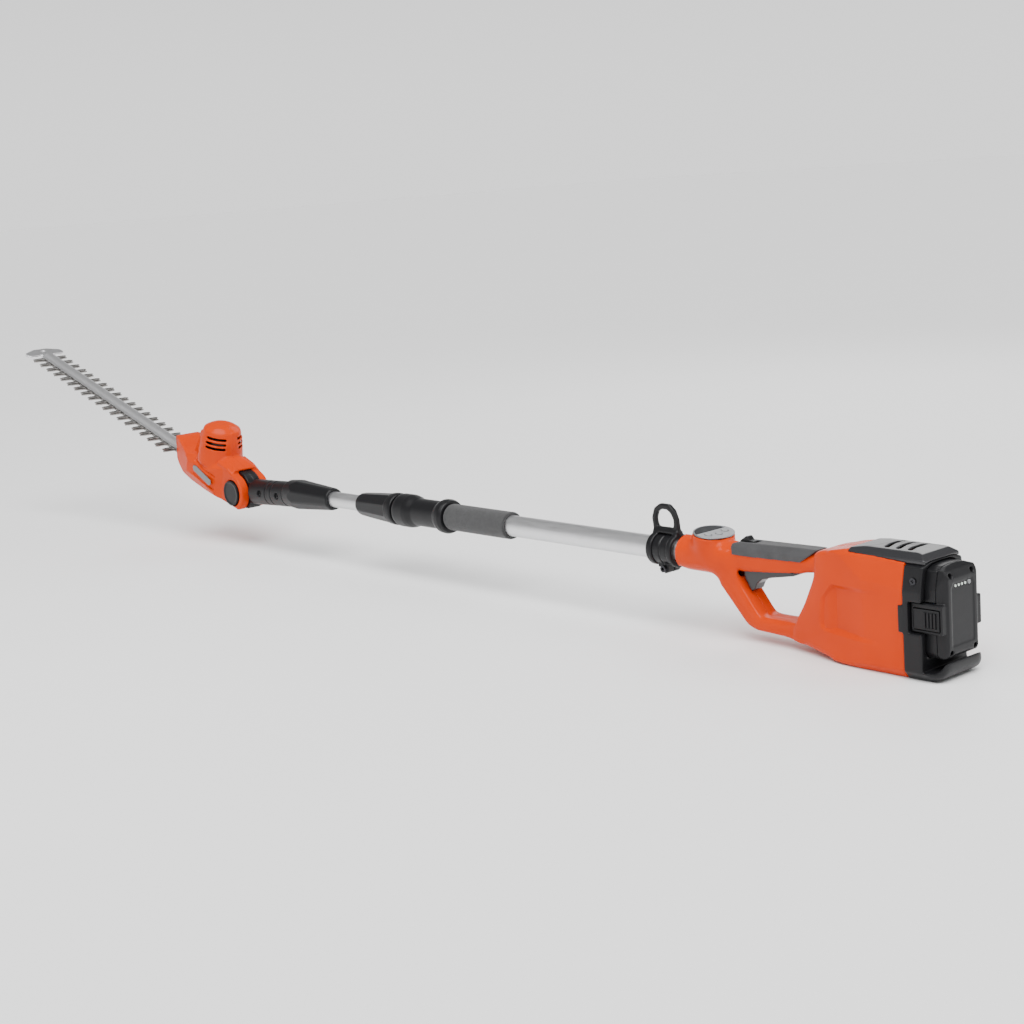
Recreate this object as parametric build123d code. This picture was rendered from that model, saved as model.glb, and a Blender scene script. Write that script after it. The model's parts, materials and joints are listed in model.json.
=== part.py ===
from build123d import *
import math
import os

# Cordless pole hedge trimmer, in millimetres, about 2.1 m long with its pole pushed in.
# +X runs along the pole towards the cutting head, +Y is the user's left, +Z is up.
# The origin is the middle of the flat foot under the battery frame, on which the rear end rests.
# The cutting head is drawn level in a frame of its own, with its origin on the pivot, and then pitched up.

# ---------------------------------------------------------------- driving dimensions
CUTTING_LENGTH = 500.0
TOOTH_COUNT = 19
TOOTH_PITCH = CUTTING_LENGTH / TOOTH_COUNT
AXIS_Z = 98.0
PIVOT_X = 1409.0
PIVOT_Z = AXIS_Z - 7.6
HEAD_PITCH = 17.7

OUTER_TUBE_R = 15.0
OUTER_TUBE_WALL = 1.5
INNER_TUBE_R = 12.5
INNER_TUBE_WALL = 1.3
RUNNING_GAP = 0.05
TOUCH_GAP = 0.1
BODY_GAP = 0.4

SHELL_WALL = 3.0
COLLAR_R = 23.0
SCREW_R = 2.0
SCREW_HEAD_R = 4.0
SCREW_HEAD_DEEP = 2.5

# rear housing stations along X, and its half widths
FRAME_REAR_X = -3.0
FRAME_X = 22.0
COVER_FRONT_X = 104.0
HANDLE_REAR_X = 161.0
TUBE_REAR_X = 300.0
COLLAR_FRONT_X = 388.0
BODY_HALF = 42.0
BEAM_HALF = 19.0
HANDLE_HALF = 15.5
COVER_HALF = 32.8

# housing screws at (x, z, depth of the head below the middle plane), and the screw on each frame side
HOUSING_SCREWS = [(60.0, 12.0, 37.0), (150.0, 20.0, 26.0), (262.0, 27.0, 16.5), (306.0, 69.0, 16.5)]
HOUSING_SCREW_LENGTH = 26.0
FRAME_SCREW_X = 8.0
FRAME_SCREW_Z = 114.0
FRAME_SCREW_Y = 41.0

# trigger and safety catch: hinge pins in the handle
TRIGGER_PIN_X = 203.0
TRIGGER_PIN_Z = 95.5
TRIGGER_PIN_R = 2.0
TRIGGER_HALF = 9.0
LOCKOUT_PIN_X = 272.0
LOCKOUT_PIN_Z = 116.5
LOCKOUT_PIN_R = 1.5
TRIGGER_PIN_REACH = 13.5
LOCKOUT_PIN_REACH = 11.0

# keypad pod, a wide oval tilted up towards the head, with its keys at (x, y) on the panel
POD_X = 339.0
POD_Z = 127.5
POD_TILT = 11.0
POD_HALF_X = 23.5
POD_HALF_Y = 30.5
KEYS = {"power_key": (-8.0, 0.0), "mode_key": (-4.0, 15.5), "reverse_key": (-4.0, -15.5)}
KEY_R = 4.2

# battery pack
BATTERY_REAR_X = -29.0
BATTERY_CAP_X = -16.0
BATTERY_FRONT_X = 52.0
BATTERY_HALF = 33.0
BATTERY_REAR_HALF = 28.0
BATTERY_LOW_Z = 27.0
BATTERY_TOP_Z = 131.0
POCKET_WALL = 2.6
POCKET_GAP = 0.8
CELL_R = 9.0
CELL_LENGTH = 60.0
LATCH_Z = 71.5
LATCH_HALF_Z = 12.0
LATCH_FRONT_X = 11.0
LATCH_REAR_X = -24.0
LATCH_FACE_Y = 38.0
CHARGE_LAMP_Z = 108.0
CHARGE_LAMP_Y = [-6.0, 0.0, 6.0, 12.0]
CHARGE_BUTTON_Y = -13.0
CAP_SCREWS = [(20.0, 120.0), (-20.0, 120.0), (22.0, 33.0), (-22.0, 33.0)]
CAP_SCREW_R = 3.0

# pole stations along X
CLAMP_X = 419.0
CLAMP_BOLT_X = CLAMP_X - 2.0
CLAMP_BOLT_Z = AXIS_Z - 23.5
SLEEVE_REAR_X = 723.0
SLEEVE_FRONT_X = 856.0
COUPLING_FRONT_X = 975.0
LOCK_REAR_X = 979.0
LOCK_FRONT_X = 1076.0
INNER_TUBE_REAR_X = 413.0
INNER_TUBE_FRONT_X = 1313.0
NECK_REAR_X = 1151.0
NECK_SEAM_X = 1271.0
NECK_FRONT_X = PIVOT_X - 35.0
NECK_LONG_SCREW_X = 1337.0
NECK_WELL_R = 5.4
NECK_SHORT_SCREW_X = 1287.0
NECK_SCREW_Z = AXIS_Z - 3.5
NECK_R = 20.8
NECK_DROOP = 2.4
SLEEVE_BULGE_X = NECK_SEAM_X - 28.0
NECK_TUBE_R = INNER_TUBE_R + TOUCH_GAP

# tilt joint, about the pivot
TONGUE_HALF = 12.3
TONGUE_R = 35.0
TONGUE_LOW = 27.0
EAR_R = 31.0
EAR_OUTER = 28.0
EAR_LOW_N = -22.5
PIN_R = 6.0
PIVOT_CAP_R = 21.5
PIVOT_CAP_INNER = 24.5
PIVOT_CAP_OUTER = 31.0

# cutting head, in its own frame: s runs along the blades, n is square to them
HEAD_FRONT_S = 193.6
HEAD_HALF = 38.0
MOTOR_S = 82.6
DOME_STEPS = [(0.0, 38.0), (30.0, 39.0), (52.0, 37.0), (66.0, 36.0), (83.0, 31.0), (89.0, 21.0), (92.0, 12.0)]
HEAD_SCREWS = [(170.0, 21.0, 19.0), (60.0, -17.0, 27.0), (108.0, -20.0, 27.0), (40.0, 27.0, 24.0)]
HEAD_SCREW_LENGTH = 30.0
VENT_LOW_N = 55.0
BADGE_FACE_Y = HEAD_HALF + 0.6

# drive
GEAR_MODULE = 0.8
GEAR_TEETH = 62
PINION_TEETH = 10
GEAR_S = MOTOR_S + GEAR_MODULE * (GEAR_TEETH + PINION_TEETH) / 2
GEAR_LOW_N = 1.5
GEAR_HIGH_N = 8.5
PLATE_LOW_N = 9.6
PLATE_HIGH_N = 15.4
MOTOR_LOW_N = 16.0
MOTOR_HIGH_N = 69.0
MOTOR_R = 26.0
GEAR_SHAFT_R = 5.0
MOTOR_SHAFT_R = 2.5
GEAR_BEARING_R = 9.0
MOTOR_BEARING_R = 8.0
CRANK_R = 4.0
CRANK_THROW = 8.0

# cutting bar
ROOT_TOOTH_S = 209.5
TIP_TOOTH_S = ROOT_TOOTH_S + (TOOTH_COUNT - 1) * TOOTH_PITCH
BLADE_MID_N = -3.5
BLADE_THICK = 2.2
BLADE_GAP = 0.2
BLADE_HALF = 13.5
TOOTH_HALF = 34.5
STROKE = 8.0
REST_SHIFT = 1.5
YOKE_HALF_S = 26.0
YOKE_HALF_Y = 19.0
WINDOW_HALF_S = CRANK_R + CRANK_THROW + STROKE + 0.5
WINDOW_HALF_Y = CRANK_R + CRANK_THROW + 0.8
BOLT_S = [152.0 + 4.5 * TOOTH_PITCH * i for i in range(5)]
BOLT_R = 3.0
BAR_REAR_S = 140.0
BAR_LOW_N = BLADE_MID_N + BLADE_THICK + 2 * BLADE_GAP
TIP_GUARD_S = TIP_TOOTH_S + 10.0
HANG_HOLE_R = 4.0


# ---------------------------------------------------------------- helpers
def outline(points, corner=0.0):
    """A flat filled outline facing up, whichever way round its points run."""
    following = points[1:] + points[:1]
    twice_area = sum(a[0] * b[1] - b[0] * a[1] for a, b in zip(points, following))
    if twice_area < 0.0:
        points = points[::-1]
    shape = Polygon(*points, align=None)
    if corner > 0.0:
        shape = fillet(shape.vertices(), corner)
    return shape


def lift(shape, height):
    return extrude(shape, amount=height, dir=(0, 0, 1))


def side_plate(shape, low_y, high_y):
    """Extrude an outline drawn in X and Z across the width, from low_y to high_y."""
    return Plane.XZ.offset(-high_y).location * lift(shape, high_y - low_y)


def plan_plate(shape, low_z, high_z):
    return Pos(0, 0, low_z) * lift(shape, high_z - low_z)


def end_plate(shape, low_x, high_x):
    """Extrude an outline drawn in Y and Z along the pole, from low_x to high_x."""
    return Plane.YZ.offset(low_x).location * lift(shape, high_x - low_x)


def box(low, high):
    size = [b - a for a, b in zip(low, high)]
    return Pos(*low) * Box(*size, align=(Align.MIN, Align.MIN, Align.MIN))


def standing(radius, height):
    return Cylinder(radius, height, align=(Align.CENTER, Align.CENTER, Align.MIN))


def rod_x(low_x, high_x, radius, y=0.0, z=0.0):
    return Pos(low_x, y, z) * Rot(0, 90, 0) * standing(radius, high_x - low_x)


def rod_y(low_y, high_y, radius, x=0.0, z=0.0):
    return Pos(x, low_y, z) * Rot(-90, 0, 0) * standing(radius, high_y - low_y)


def rod_z(low_z, high_z, radius, x=0.0, y=0.0):
    return Pos(x, y, low_z) * standing(radius, high_z - low_z)


def turned(profile, z=AXIS_Z):
    """Turn a closed outline of (x, radius) points about the pole axis at height z."""
    return Pos(0, 0, z) * revolve(Polygon(*profile, align=None), Axis.X, 360)


def tube_x(low_x, high_x, outer, inner, z=AXIS_Z):
    return turned([(low_x, inner), (high_x, inner), (high_x, outer), (low_x, outer)], z)


def mirrored_points(points):
    """Close a half outline of (along, across) points with its mirror image."""
    return points + [(a, -b) for a, b in reversed(points)]


def across(half_points):
    """A symmetric outline in Y and Z, given as (z, half width) points from the bottom up."""
    right = [(-half_width, z) for z, half_width in half_points]
    left = [(half_width, z) for z, half_width in reversed(half_points)]
    return outline(right + left)


def half(solid, side):
    """Keep the part of a solid on one side of the middle plane: side is +1 for left, -1 for right."""
    return solid & Pos(600, side * 250, 0) * Box(4000, 500, 2000)


def shrunk(shape, inset):
    if inset == 0.0:
        return shape
    return offset(shape, amount=-inset, kind=Kind.INTERSECTION)


def on_head(solid):
    return Pos(PIVOT_X, 0, PIVOT_Z) * Rot(0, -HEAD_PITCH, 0) * solid


def on_pod(solid):
    return Pos(POD_X, 0, POD_Z) * Rot(0, -POD_TILT, 0) * solid


def span_y(inner_y, outer_y, radius, x, z):
    """A rod along Y between two stations given in either order."""
    return rod_y(min(inner_y, outer_y), max(inner_y, outer_y), radius, x, z)


def screw_y(x, z, head_y, length, side):
    """A cross-head screw along Y: side is +1 where its head faces left, -1 where it faces right."""
    head = span_y(head_y, head_y - side * SCREW_HEAD_DEEP, SCREW_HEAD_R, x, z)
    shank = span_y(head_y, head_y - side * length, SCREW_R, x, z)
    recess = Pos(x, head_y, z) * (Box(4.6, 2.4, 1.2) + Box(1.2, 2.4, 4.6))
    return head + shank - recess


def screw_seat_y(x, z, head_y, length, side):
    """The hole that such a screw sits in, open to the outside."""
    well = span_y(head_y + side * 20.0, head_y - side * SCREW_HEAD_DEEP, SCREW_HEAD_R + TOUCH_GAP, x, z)
    return well + span_y(head_y, head_y - side * (length + 0.5), SCREW_R + TOUCH_GAP, x, z)


# ---------------------------------------------------------------- rear housing
def housing_body(inset):
    """The big rear box that narrows downwards and forwards, without its handle."""
    side = outline([(FRAME_X, 0), (95, 0), (140, 4), (172, 8.5), (200, 13), (196, 34), (HANDLE_REAR_X, 99),
                    (HANDLE_REAR_X - 1, 127), (150, 131), (COVER_FRONT_X, 139), (FRAME_X, 133)])
    plan = outline(mirrored_points([(FRAME_X, BODY_HALF), (80, 41), (140, 33), (205, BEAM_HALF)]))
    end = across([(0, 34), (10, BODY_HALF), (102, BODY_HALF), (134, 36), (139.5, 28)])
    block = side_plate(shrunk(side, inset), -60, 60) & plan_plate(shrunk(plan, inset), -10, 200)
    return block & end_plate(shrunk(end, inset), -10, 250)


def guard_ring(inset):
    """The lower beam and the slanted strut of the hand guard."""
    shape = outline([(185, 10), (200, 13), (262, 15), (276, 20), (333, 82), (345, 84), (338, 98), (296, 98),
                     (290, 85), (281.5, 69), (254, 34), (185, 34)])
    width = BEAM_HALF - inset
    return side_plate(shrunk(shape, inset), -width, width)


def handle_core(inset):
    shape = outline([(HANDLE_REAR_X - 12, 99.5), (283, 86.5), (325, 92), (325, 116), (285, 119),
                     (HANDLE_REAR_X - 12, 123)])
    section = across([(84, 11), (92, HANDLE_HALF), (112, HANDLE_HALF), (122, 8), (125, 8)])
    length = end_plate(shrunk(section, inset), HANDLE_REAR_X - 20, 330)
    return length & side_plate(shrunk(shape, inset), -40, 40)


def keypad_pod(inset):
    """A flared dome that rises from the collar to the tilted oval panel."""
    top = on_pod(Ellipse(POD_HALF_X - inset, POD_HALF_Y - inset))
    waist = on_pod(Pos(0, 0, -9) * Ellipse(POD_HALF_X + 3 - inset, POD_HALF_Y - 1.5 - inset))
    low = Pos(POD_X - 3, 0, AXIS_Z - 2) * Ellipse(POD_HALF_X + 12 - inset, COLLAR_R + 1 - inset)
    return loft([low, waist]) + loft([waist, top])


def pod_recess():
    """The pocket under the keypad panel."""
    return on_pod(Pos(0, 0, -7) * lift(Ellipse(POD_HALF_X - 2.2, POD_HALF_Y - 2.2), 7))


def cover_seat(reach):
    """The sloping flat on top of the housing, where the cooling cover lies."""
    rear_x = FRAME_REAR_X - 2
    seat = outline([(rear_x, 128), (COVER_FRONT_X, 136), (COVER_FRONT_X, 160), (rear_x, 160)])
    return side_plate(seat, -reach, reach)


def trigger_opening():
    half_y = TRIGGER_HALF + 1.2
    return box((192, -half_y, 80), (294, half_y, 106))


def lockout_opening():
    return box((266, -6, 105), (297, 6, 130))


def rear_housing():
    """Both housing halves in one piece, hollow, before they are split."""
    collar = rod_x(TUBE_REAR_X, COLLAR_FRONT_X, COLLAR_R, z=AXIS_Z)
    outer = housing_body(0) + guard_ring(0) + handle_core(0) + collar + keypad_pod(0)
    hollow = housing_body(SHELL_WALL) + box((FRAME_X - 5, -35, 24), (FRAME_X + 20, 35, 127))
    hollow += guard_ring(SHELL_WALL) + handle_core(SHELL_WALL)
    hollow += box((TUBE_REAR_X - 30, -11, AXIS_Z - 8), (TUBE_REAR_X + 2, 11, AXIS_Z + 8))
    shell = outer - hollow - pod_recess()
    shell -= rod_x(TUBE_REAR_X, COLLAR_FRONT_X + 5, OUTER_TUBE_R + TOUCH_GAP, z=AXIS_Z)
    shell -= cover_seat(COVER_HALF + TOUCH_GAP)
    shell -= trigger_opening()
    shell -= lockout_opening()
    shell -= battery_pocket_outer(0.3)
    trigger_end = TRIGGER_PIN_REACH + TOUCH_GAP
    lockout_end = LOCKOUT_PIN_REACH + TOUCH_GAP
    shell -= rod_y(-trigger_end, trigger_end, TRIGGER_PIN_R + TOUCH_GAP, TRIGGER_PIN_X, TRIGGER_PIN_Z)
    shell -= rod_y(-lockout_end, lockout_end, LOCKOUT_PIN_R + TOUCH_GAP, LOCKOUT_PIN_X, LOCKOUT_PIN_Z)
    for x, z, head_y in HOUSING_SCREWS:
        shell += rod_y(-BODY_HALF, BODY_HALF, SCREW_HEAD_R + 2.0, x, z) & outer
    for x, z, head_y in HOUSING_SCREWS:
        shell -= screw_seat_y(x, z, -head_y, HOUSING_SCREW_LENGTH, -1)
    return shell


def rear_housing_halves():
    whole = rear_housing()
    return {"rear_housing_left": half(whole, 1), "rear_housing_right": half(whole, -1)}


def housing_screws():
    screws = [screw_y(x, z, -head_y, HOUSING_SCREW_LENGTH, -1) for x, z, head_y in HOUSING_SCREWS]
    for side in (1, -1):
        screws.append(screw_y(FRAME_SCREW_X, FRAME_SCREW_Z, side * FRAME_SCREW_Y, 5, side))
    return Compound(children=screws)


def grip_insert():
    """The soft grip pad, an inverted channel that wraps the upper half of the handle."""
    block = end_plate(across([(107, 16.5), (117, 16.5), (126, 10)]), HANDLE_REAR_X - 1, 300)
    side = outline([(188, 109), (297, 106), (298, 121), (288, 123.5), (HANDLE_REAR_X + 4, 126.5)])
    pad = block & side_plate(side, -30, 30)
    pad -= handle_core(-TOUCH_GAP)
    return pad - box((265, -7, 100), (297, 7, 140))


def top_cover():
    """The dark cooling cover over the rear housing, crowned, with three slots across it."""
    section = across([(120, COVER_HALF), (136.5, COVER_HALF), (143, 24), (146, 6)])
    profile = outline([(FRAME_REAR_X, 120), (FRAME_REAR_X, 136), (5, 142), (24, 145.5), (60, 146.5),
                       (COVER_FRONT_X - 0.2, 140.5), (COVER_FRONT_X - 0.2, 120)])
    block = end_plate(section, FRAME_REAR_X, COVER_FRONT_X) & side_plate(profile, -40, 40)
    block = block & Pos(0, 0, TOUCH_GAP) * cover_seat(40)
    hollow = end_plate(shrunk(section, SHELL_WALL), FRAME_X + 1, COVER_FRONT_X - 4)
    hollow = hollow & side_plate(shrunk(profile, SHELL_WALL), -40, 40)
    cover = block - hollow
    for slot in range(3):
        x = 24 + 16 * slot
        cover -= box((x, -19, 125), (x + 5, 19, 160))
    cover -= end_plate(shrunk(frame_outline(), -TOUCH_GAP), FRAME_REAR_X - 5, FRAME_X + TOUCH_GAP)
    return cover - battery_pocket_outer(0.3)


def frame_outline():
    return across([(0, 34), (10, 43), (102, 43), (130, 37), (134.2, 20)])


def battery_section(inset):
    shape = across([(BATTERY_LOW_Z, 30), (BATTERY_LOW_Z + 6, BATTERY_HALF), (104, BATTERY_HALF), (126, 28),
                    (BATTERY_TOP_Z - 1, 17), (BATTERY_TOP_Z, 6)])
    return shrunk(shape, inset)


def battery_pocket_outer(grow):
    return end_plate(battery_section(-POCKET_WALL - grow), -20, 58 + grow)


def battery_frame():
    """The black frame round the battery bay, with its pocket, side tabs and the skid lip it stands on."""
    ring = end_plate(frame_outline(), FRAME_REAR_X, FRAME_X)
    for side in (1, -1):
        tab_low, tab_high = sorted((side * (BODY_HALF + TOUCH_GAP), side * 43.4))
        ring += box((FRAME_X - 2, tab_low, 54), (FRAME_X + 6, tab_high, 86))
    lip_side = outline([(FRAME_REAR_X + 3, 0), (-11, 0), (-23, 4), (-29, 12), (-31, 25), (-27.5, 25.5),
                        (-23, 16), (-15, 11.5), (FRAME_REAR_X + 3, 10.5)])
    lip_plan = outline(mirrored_points([(FRAME_REAR_X + 3, 43), (-20, 42), (-27, 37), (-31, 28)]))
    lip = side_plate(lip_side, -43, 43) & plan_plate(lip_plan, -1, 40) & end_plate(frame_outline(), -40, 5)
    frame = ring + lip + (battery_pocket_outer(0) & box((0, -60, 0), (80, 60, 200)))
    frame -= end_plate(battery_section(-POCKET_GAP), -40, BATTERY_FRONT_X + 1)
    frame -= box((-40, -60, LATCH_Z - 17), (LATCH_FRONT_X + 4, 60, LATCH_Z + 19))
    frame -= box((BATTERY_FRONT_X - 2, -20, 70), (70, 20, 100))
    for side in (1, -1):
        frame -= screw_seat_y(FRAME_SCREW_X, FRAME_SCREW_Z, side * FRAME_SCREW_Y, 5, side)
    return frame


def terminal_block():
    """The terminal block behind the window of the battery pocket, with its contact tongue."""
    return box((58.8, -24, 66), (66, 24, 104)) + box((54, -19.5, 70.5), (58.8, 19.5, 99.5))


def control_board():
    """The motor controller on its heat sink, under the top cover."""
    board = box((72, -28, 112), (140, 28, 113.6))
    sink = box((76, -22, 113.6), (130, 22, 117))
    for fin in range(6):
        y = -21 + 8 * fin
        sink += box((76, y, 117), (130, y + 2, 127))
    return board + sink + box((84, -20, 108.5), (96, 20, 112))


def trigger_switch():
    """The micro-switch above the trigger, inside the handle."""
    return box((232, -5.5, 103), (258, 5.5, 113)) + box((236, -2, 101.8), (240, 2, 103))


def trigger():
    """The long throttle trigger, hinged near its tail."""
    lever = outline([(286, 88), (283, 78), (275.5, 66), (272.5, 62.5), (268, 65), (264, 73), (256, 79),
                     (240, 83), (206, 89), (197, 92.5), (199, 97.5), (204, 99.5), (250, 97), (287, 95)])
    body = side_plate(lever, -TRIGGER_HALF, TRIGGER_HALF)
    body += rod_y(-TRIGGER_HALF, TRIGGER_HALF, 5, TRIGGER_PIN_X, TRIGGER_PIN_Z)
    return body - rod_y(-20, 20, TRIGGER_PIN_R + RUNNING_GAP, TRIGGER_PIN_X, TRIGGER_PIN_Z)


def trigger_pin():
    return rod_y(-TRIGGER_PIN_REACH, TRIGGER_PIN_REACH, TRIGGER_PIN_R, TRIGGER_PIN_X, TRIGGER_PIN_Z)


def lockout_lever():
    """The wedge-shaped safety catch in the top of the handle, hinged at its rear end."""
    wedge = outline([(269, 118), (269, 124.5), (276, 125), (279.5, 129.5), (282, 130), (291, 124), (294, 118),
                     (280, 114)])
    body = side_plate(wedge, -5.2, 5.2) + rod_y(-5.2, 5.2, 3.4, LOCKOUT_PIN_X, LOCKOUT_PIN_Z)
    return body - rod_y(-6, 6, LOCKOUT_PIN_R + RUNNING_GAP, LOCKOUT_PIN_X, LOCKOUT_PIN_Z)


def lockout_pin():
    return rod_y(-LOCKOUT_PIN_REACH, LOCKOUT_PIN_REACH, LOCKOUT_PIN_R, LOCKOUT_PIN_X, LOCKOUT_PIN_Z)


# ---------------------------------------------------------------- keypad
def pod_bezel():
    """The pale rim and key plate of the panel."""
    plate = lift(Ellipse(POD_HALF_X - 0.4, POD_HALF_Y - 0.4), 1.6)
    plate += Pos(0, 0, -1.6) * lift(Ellipse(POD_HALF_X - 2.4, POD_HALF_Y - 2.4), 1.7)
    plate -= display_window_blank(0.05)
    for x, y in KEYS.values():
        plate -= rod_z(-5, 5, KEY_R + 0.3, x, y)
    return on_pod(plate)


def display_window_blank(grow):
    front = lift(Ellipse(POD_HALF_X - 2.6 + grow, POD_HALF_Y - 2.6 + grow), 4)
    return Pos(0, 0, 0.4) * (front & box((5 - grow, -40, -1), (40, 40, 5)))


def display_window():
    blank = display_window_blank(0)
    return on_pod(blank & box((0, -40, 0), (40, 40, 1.5)))


def keypad_board():
    board = Pos(0, 0, -6.8) * lift(Ellipse(POD_HALF_X - 3, POD_HALF_Y - 3), 1.6)
    for x, y in KEYS.values():
        board += Pos(x, y, -3.9) * Box(5, 5, 2.8)
    return on_pod(board)


def key_cap(x, y):
    cap = rod_z(-1.6, 2.2, KEY_R, x, y)
    return on_pod(fillet(cap.edges().sort_by(Axis.Z)[-1:], 0.6))


# ---------------------------------------------------------------- battery pack
def battery_case():
    """The front box of the pack, open at the rear where the end cap closes it."""
    case = end_plate(battery_section(0), BATTERY_CAP_X, BATTERY_FRONT_X)
    case -= end_plate(battery_section(2.5), BATTERY_CAP_X - 1, BATTERY_FRONT_X - 2.5)
    case -= box((BATTERY_FRONT_X - 5, -20, 70), (BATTERY_FRONT_X + 5, 20, 100))
    for side in (1, -1):
        case -= latch_box(side, 0.3)
    return case


def latch_box(side, grow):
    """The guard round one latch button, which stands proud of the pack's side."""
    low_y, high_y = sorted((side * (BATTERY_HALF - 5 - grow), side * (LATCH_FACE_Y - 0.8 + grow)))
    low = (BATTERY_REAR_X + 2 - grow, low_y, LATCH_Z - 16 - grow)
    return box(low, (LATCH_FRONT_X + 3 + grow, high_y, LATCH_Z + 18 + grow))


def latch_pocket(side):
    low_y, high_y = sorted((side * (BATTERY_HALF - 3), side * 50.0))
    half_z = LATCH_HALF_Z + BODY_GAP
    low = (LATCH_REAR_X - BODY_GAP, low_y, LATCH_Z - half_z)
    return box(low, (LATCH_FRONT_X + BODY_GAP, high_y, LATCH_Z + half_z))


def battery_end_cap():
    """The rear cap: tapering flanks, a recessed panel, and the boxes that guard the latch buttons."""
    outer = end_plate(battery_section(0), BATTERY_REAR_X, BATTERY_CAP_X - TOUCH_GAP)
    nose = outline([(BATTERY_CAP_X, 25), (-25, 27), (BATTERY_REAR_X, 32), (BATTERY_REAR_X, 117), (-25, 126),
                    (BATTERY_CAP_X, 132)])
    flanks = outline(mirrored_points([(BATTERY_CAP_X, BATTERY_HALF - 0.5), (-26, BATTERY_REAR_HALF + 1.5),
                                      (BATTERY_REAR_X, BATTERY_REAR_HALF - 1)]))
    cap = outer & side_plate(nose, -60, 60) & plan_plate(flanks, 0, 200)
    cap -= end_plate(battery_section(5), -26, BATTERY_CAP_X + 1) & box((-26, -60, 30), (0, 60, 114))
    for side in (1, -1):
        cap += latch_box(side, 0)
    panel = outline([(21, 40), (21, 106), (17, 112), (-17, 112), (-21, 106), (-21, 40)])
    cap -= end_plate(panel, BATTERY_REAR_X - 1, BATTERY_REAR_X + 0.8)
    cap -= rod_x(-40, -20, 3.0, CHARGE_BUTTON_Y, CHARGE_LAMP_Z)
    for y in CHARGE_LAMP_Y:
        cap -= rod_x(-40, -20, 1.6, y, CHARGE_LAMP_Z)
    for side in (1, -1):
        cap -= latch_pocket(side)
    for y, z in CAP_SCREWS:
        cap -= rod_x(-40, -20, CAP_SCREW_R + TOUCH_GAP, y, z)
    return cap


def battery_screws():
    return Compound(children=[rod_x(-22, -20, CAP_SCREW_R, y, z) for y, z in CAP_SCREWS])


def battery_cells():
    """Ten cells lying along the pole, in two columns of five."""
    cells = []
    for column in (-1, 1):
        for row in range(5):
            z = 78.5 + (row - 2) * (2 * CELL_R + 0.4)
            cells.append(rod_x(-13, -13 + CELL_LENGTH, CELL_R, column * (CELL_R + 1.5), z))
    return Compound(children=cells)


def charge_lamps():
    return Compound(children=[rod_x(BATTERY_REAR_X + 0.6, -22, 1.5, y, CHARGE_LAMP_Z) for y in CHARGE_LAMP_Y])


def charge_button():
    return rod_x(BATTERY_REAR_X - 0.2, -22, 2.7, CHARGE_BUTTON_Y, CHARGE_LAMP_Z)


def battery_latch(side):
    """A ribbed latch button that is squeezed in to free the pack."""
    low, high = sorted((side * (BATTERY_HALF + 0.5), side * LATCH_FACE_Y))
    button = box((LATCH_REAR_X, low, LATCH_Z - LATCH_HALF_Z), (LATCH_FRONT_X, high, LATCH_Z + LATCH_HALF_Z))
    groove_low, groove_high = sorted((side * (LATCH_FACE_Y - 1), side * (LATCH_FACE_Y + 1)))
    for groove in range(4):
        x = LATCH_REAR_X + 3 + 4.5 * groove
        button -= box((x, groove_low, LATCH_Z - 9), (x + 1.6, groove_high, LATCH_Z + 9))
    return button


# ---------------------------------------------------------------- pole
def pole_outer_tube():
    return tube_x(TUBE_REAR_X + 1, COUPLING_FRONT_X - 8, OUTER_TUBE_R, OUTER_TUBE_R - OUTER_TUBE_WALL)


def pole_inner_tube():
    return tube_x(INNER_TUBE_REAR_X, INNER_TUBE_FRONT_X, INNER_TUBE_R, INNER_TUBE_R - INNER_TUBE_WALL)


def guide_bush():
    """The sliding bush on the rear end of the inner tube."""
    outer = OUTER_TUBE_R - OUTER_TUBE_WALL - RUNNING_GAP
    skirt = tube_x(INNER_TUBE_REAR_X - 5, INNER_TUBE_REAR_X + 25, outer, INNER_TUBE_R)
    rear_end = INNER_TUBE_REAR_X - TOUCH_GAP
    return skirt + tube_x(INNER_TUBE_REAR_X - 5, rear_end, outer, INNER_TUBE_R - INNER_TUBE_WALL)


def foam_sleeve():
    return tube_x(SLEEVE_REAR_X, SLEEVE_FRONT_X, 19.6, OUTER_TUBE_R + TOUCH_GAP)


def coupling_body():
    """The fixed half of the telescopic lock, with a rounded ring at each end."""
    bore = OUTER_TUBE_R + TOUCH_GAP
    front = COUPLING_FRONT_X
    profile = [(SLEEVE_FRONT_X + 1, bore), (front, bore), (front, 22.5), (front - 2, 24.5), (front - 6, 25.2),
               (front - 26, 25.2), (front - 33, 24), (front - 43, 20.8), (SLEEVE_FRONT_X + 24, 20.8),
               (SLEEVE_FRONT_X + 20, 23.5), (SLEEVE_FRONT_X + 15, 25.3), (SLEEVE_FRONT_X + 7, 25.6),
               (SLEEVE_FRONT_X + 1, 23.5)]
    return turned(profile)


def tube_collet():
    """The slotted nylon collet that the collar squeezes onto the inner tube."""
    front = COUPLING_FRONT_X
    profile = [(front - 7.5, INNER_TUBE_R + RUNNING_GAP), (LOCK_FRONT_X - 6, INNER_TUBE_R + RUNNING_GAP),
               (LOCK_FRONT_X - 6, 14.2), (front + 4, 15.0), (front - 7.5, 15.0)]
    collet = turned(profile)
    for angle in (45, 135):
        slot = box((front + 30, -1, -20), (LOCK_FRONT_X, 1, 20))
        collet -= Pos(0, 0, AXIS_Z) * Rot(angle, 0, 0) * slot
    return collet


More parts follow.
